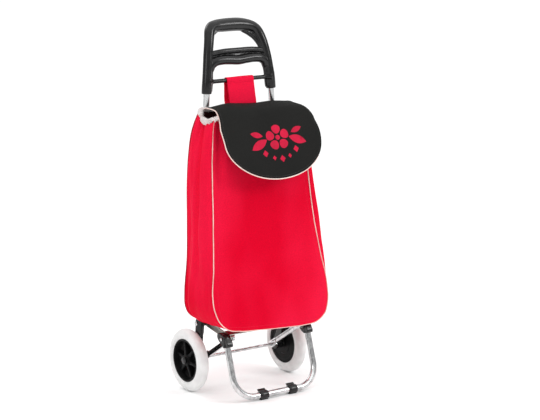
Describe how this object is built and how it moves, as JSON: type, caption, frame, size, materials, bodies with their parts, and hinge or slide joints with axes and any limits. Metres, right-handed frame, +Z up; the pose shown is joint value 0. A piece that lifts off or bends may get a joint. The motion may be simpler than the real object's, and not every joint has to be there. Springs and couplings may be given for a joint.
{
  "type": "shopping trolley",
  "caption": "Two-wheeled shopping trolley: soft bag with a flap lid on a folding tube frame with a moulded handle, a folding base with a front foot, and free-turning wheels.",
  "frame": {"origin": "on the floor under the middle of the object's box", "axes": "+Z up, -Y towards the bag's front, +X towards the right as seen from the front"},
  "size_m": [0.354, 0.2656, 0.9323],
  "materials": {
    "black_plastic": "satin moulded polypropylene",
    "tube_chrome": "bright plated steel tube",
    "zinc_steel": "zinc plated flat steel",
    "white_tyre": "matt light grey foam rubber",
    "red_fabric": "plain woven polyester with a light sheen",
    "charcoal_fabric": "plain woven polyester, matt",
    "piping": "smooth off-white piping cord",
    "lining": "thin gathered nylon lining",
    "print_red": "matt screen print",
    "board": "stiff fibre board"
  },
  "bodies": {
    "frame": {"handle": "black_plastic", "upright_left": "tube_chrome", "upright_right": "tube_chrome", "rear_bracket_left": "black_plastic", "rear_bracket_right": "black_plastic", "rear_pivot_pins": "tube_chrome", "axle": "tube_chrome", "axle_washers": "zinc_steel", "axle_caps": "black_plastic", "bag_front": "red_fabric", "bag_back": "red_fabric", "bag_left": "red_fabric", "bag_right": "red_fabric", "bag_bottom": "red_fabric", "base_board": "board", "bag_piping": "piping", "back_binding": "red_fabric", "mouth_collar": "lining", "hanging_loop": "red_fabric", "tie_strap_left": "red_fabric", "tie_strap_right": "red_fabric"},
    "wheel_left": {"wheel_hub_left": "black_plastic", "tyre_left": "white_tyre"},
    "wheel_right": {"wheel_hub_right": "black_plastic", "tyre_right": "white_tyre"},
    "platform": {"side_bar_left": "zinc_steel", "side_bar_right": "zinc_steel", "base_strap_front": "zinc_steel", "base_strap_rear": "zinc_steel", "front_pivot_pins": "tube_chrome", "front_spacers": "zinc_steel"},
    "foot": {"knuckle_left": "black_plastic", "knuckle_right": "black_plastic", "knuckle_screws": "tube_chrome", "foot_tube": "tube_chrome", "foot_clip_left": "black_plastic", "foot_clip_right": "black_plastic"},
    "struts": {"strut_left": "tube_chrome", "strut_right": "tube_chrome"},
    "lid_top": {"flap_top": "charcoal_fabric", "flap_top_piping": "piping"},
    "lid_front": {"flap_front": "charcoal_fabric", "flap_front_piping": "piping", "flap_print": "print_red"}
  },
  "joints": [
    {"name": "wheel_left_spin", "type": "hinge", "parent": "frame", "child": "wheel_left", "pos_m": [-0.1502, 0.0528, 0.08], "axis": [1, 0, 0], "continuous": true},
    {"name": "wheel_right_spin", "type": "hinge", "parent": "frame", "child": "wheel_right", "pos_m": [0.1502, 0.0528, 0.08], "axis": [1, 0, 0], "continuous": true},
    {"name": "base_fold", "type": "hinge", "parent": "frame", "child": "platform", "pos_m": [0, 0.035, 0.1756], "axis": [-1, 0, 0], "range_deg": [0, 80], "deforming": ["bag_front", "bag_back", "bag_left", "bag_right", "bag_bottom", "base_board", "bag_piping", "back_binding", "tie_strap_left", "tie_strap_right"]},
    {"name": "foot_fold", "type": "hinge", "parent": "platform", "child": "foot", "pos_m": [0, -0.0719, 0.1566], "axis": [1, 0, 0], "range_deg": [0, 98]},
    {"name": "strut_fold", "type": "hinge", "parent": "platform", "child": "struts", "pos_m": [0, -0.0719, 0.1566], "axis": [1, 0, 0], "range_deg": [0, 36]},
    {"name": "flap_open", "type": "hinge", "parent": "frame", "child": "lid_top", "pos_m": [0, 0.017, 0.721], "axis": [-1, 0, 0], "range_deg": [0, 88]},
    {"name": "flap_unfold", "type": "hinge", "parent": "lid_top", "child": "lid_front", "pos_m": [0, -0.068, 0.716], "axis": [-1, 0, 0], "range_deg": [0, 67]}
  ],
  "couplings": [
    {"joint": "foot_fold", "follows": "base_fold", "ratio": 1.219},
    {"joint": "strut_fold", "follows": "base_fold", "ratio": 0.4456},
    {"joint": "flap_unfold", "follows": "flap_open", "ratio": 0.75}
  ]
}
